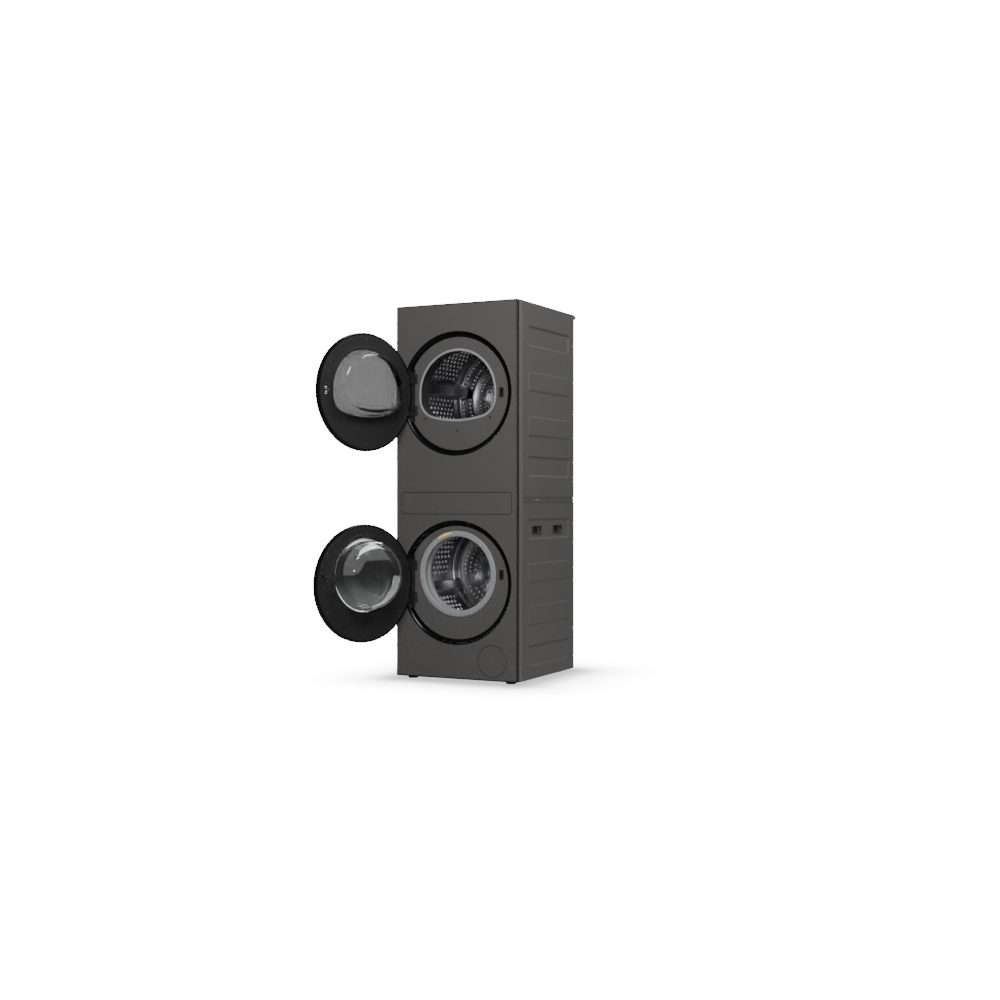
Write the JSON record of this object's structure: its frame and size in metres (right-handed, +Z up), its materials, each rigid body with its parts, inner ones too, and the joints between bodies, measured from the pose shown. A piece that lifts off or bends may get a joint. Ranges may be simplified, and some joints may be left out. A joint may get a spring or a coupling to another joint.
{
  "type": "laundry tower",
  "caption": "Free-standing laundry tower: a front-loading washer below a heat-pump dryer behind one tall front panel, both round doors standing open.",
  "frame": {"origin": "on the floor, under the middle of the cabinet's width and depth (open doors not counted)", "axes": "+Z up, -Y the front with the doors, +X to the right seen from the front; the doors hinge at -X"},
  "size_m": [0.7363, 1.0971, 1.655],
  "materials": {
    "panel_grey": "satin dark grey coat on steel",
    "post_grey": "satin dark grey coat on steel",
    "black_frame": "satin black",
    "gloss_black": "gloss black",
    "liner_black": "soft gloss black",
    "zinc": "zinc-plated",
    "rear_grey": "satin grey",
    "feet_black": "matte",
    "plastic_black": "matte",
    "plastic_white": "matte",
    "plastic_grey": "matte",
    "seal_grey": "matte light grey",
    "lamp_lens": "frosted",
    "tub_plastic": "mineral-filled plastic",
    "ballast": "rough cast",
    "stainless": "polished stainless steel",
    "bearing_steel": "ground",
    "copper": "varnished windings",
    "aluminium_cast": "as cast",
    "belt_rubber": "ribbed",
    "tinted_glass": "tinted",
    "clear_glass": "clear",
    "steel_black": "black coat on steel"
  },
  "bodies": {
    "cabinet": {"levelling_feet": "feet_black", "base_pan": "rear_grey", "washer_side_panels": "panel_grey", "dryer_side_panels": "panel_grey", "rear_panels": "rear_grey", "corner_posts": "post_grey", "stacking_frame": "panel_grey", "top_cover": "panel_grey", "front_frame": "black_frame", "front_panel": "panel_grey", "control_panel": "panel_grey", "dish_screws": "steel_black", "case_screws": "zinc", "rear_fittings": "plastic_black", "door_trim_rings": "gloss_black", "hinge_brackets": "steel_black", "door_strikes": "plastic_black", "dryer_dish": "panel_grey", "dryer_throat_seal": "seal_grey", "washer_dish": "panel_grey", "washer_gasket": "seal_grey", "drum_lamp": "lamp_lens", "tub_front": "tub_plastic", "tub_rear": "tub_plastic", "counterweight": "ballast", "tub_suspension": "zinc", "drum_bearings": "bearing_steel", "motor_stator": "copper", "drain_pump": "plastic_grey", "inlet_valves": "plastic_white", "drawer_housing": "plastic_white", "dryer_base": "plastic_grey", "heat_pump": "plastic_grey", "front_bulkhead": "plastic_black", "rear_bulkhead": "zinc", "dryer_motor": "zinc", "dryer_belt": "belt_rubber"},
    "washer_drum": {"washer_drum": "stainless", "washer_lifters": "stainless", "drum_spider": "aluminium_cast", "motor_rotor": "zinc"},
    "dryer_drum": {"dryer_drum": "stainless", "dryer_lifters": "stainless"},
    "blower": {"blower_shaft": "plastic_grey"},
    "drawer": {"detergent_drawer": "plastic_white", "drawer_front": "panel_grey"},
    "filter_cover": {"filter_cover": "panel_grey"},
    "pump_filter": {"pump_filter": "plastic_grey"},
    "lint_filter": {"lint_filter": "plastic_black"},
    "dryer_door": {"dryer_door_frame": "gloss_black", "dryer_door_window": "tinted_glass", "dryer_door_liner": "liner_black", "dryer_door_glass": "clear_glass", "dryer_door_arms": "steel_black"},
    "dryer_hook": {"dryer_door_hook": "steel_black"},
    "washer_door": {"washer_door_frame": "gloss_black", "washer_door_window": "tinted_glass", "washer_door_liner": "liner_black", "washer_door_glass": "clear_glass", "washer_door_arms": "steel_black"},
    "washer_hook": {"washer_door_hook": "steel_black"}
  },
  "joints": [
    {"name": "dryer_door_hinge", "type": "hinge", "parent": "cabinet", "child": "dryer_door", "pos_m": [-0.241, -0.3055, 1.259], "axis": [0, 0, -1], "range_deg": [-110, 15]},
    {"name": "washer_door_hinge", "type": "hinge", "parent": "cabinet", "child": "washer_door", "pos_m": [-0.241, -0.3055, 0.433], "axis": [0, 0, -1], "range_deg": [-112, 13]},
    {"name": "dryer_hook_pivot", "type": "hinge", "parent": "dryer_door", "child": "dryer_hook", "pos_m": [-0.39166, -0.73699, 1.257], "axis": [0, 0, 1], "range_deg": [0, 8], "stiffness_Nm_per_rad": 0.6, "springref_deg": -5.73},
    {"name": "washer_hook_pivot", "type": "hinge", "parent": "washer_door", "child": "washer_hook", "pos_m": [-0.40663, -0.73147, 0.471], "axis": [0, 0, 1], "range_deg": [0, 8], "stiffness_Nm_per_rad": 0.6, "springref_deg": -5.73},
    {"name": "washer_drum_spin", "type": "hinge", "parent": "cabinet", "child": "washer_drum", "pos_m": [0, -0.0525, 0.471], "axis": [0, 1, 0], "continuous": true},
    {"name": "dryer_drum_spin", "type": "hinge", "parent": "cabinet", "child": "dryer_drum", "pos_m": [0, -0.0025, 1.262], "axis": [0, 1, 0], "continuous": true},
    {"name": "blower_spin", "type": "hinge", "parent": "cabinet", "child": "blower", "pos_m": [-0.205, -0.0025, 0.925], "axis": [0, 1, 0], "continuous": true},
    {"name": "drawer_slide", "type": "slide", "parent": "cabinet", "child": "drawer", "axis": [0, -1, 0], "range_m": [0, 0.185]},
    {"name": "filter_cover_hinge", "type": "hinge", "parent": "cabinet", "child": "filter_cover", "pos_m": [0.098, -0.2945, 0.098], "axis": [0, 0, -1], "range_deg": [0, 90]},
    {"name": "pump_filter_turn", "type": "hinge", "parent": "cabinet", "child": "pump_filter", "pos_m": [0.178, -0.2425, 0.098], "axis": [0, 1, 0], "range_deg": [-90, 0]},
    {"name": "lint_filter_slide", "type": "slide", "parent": "cabinet", "child": "lint_filter", "axis": [0, 0, 1], "range_m": [0, 0.11]}
  ],
  "couplings": [
    {"joint": "blower_spin", "follows": "dryer_drum_spin", "ratio": 22.5}
  ]
}
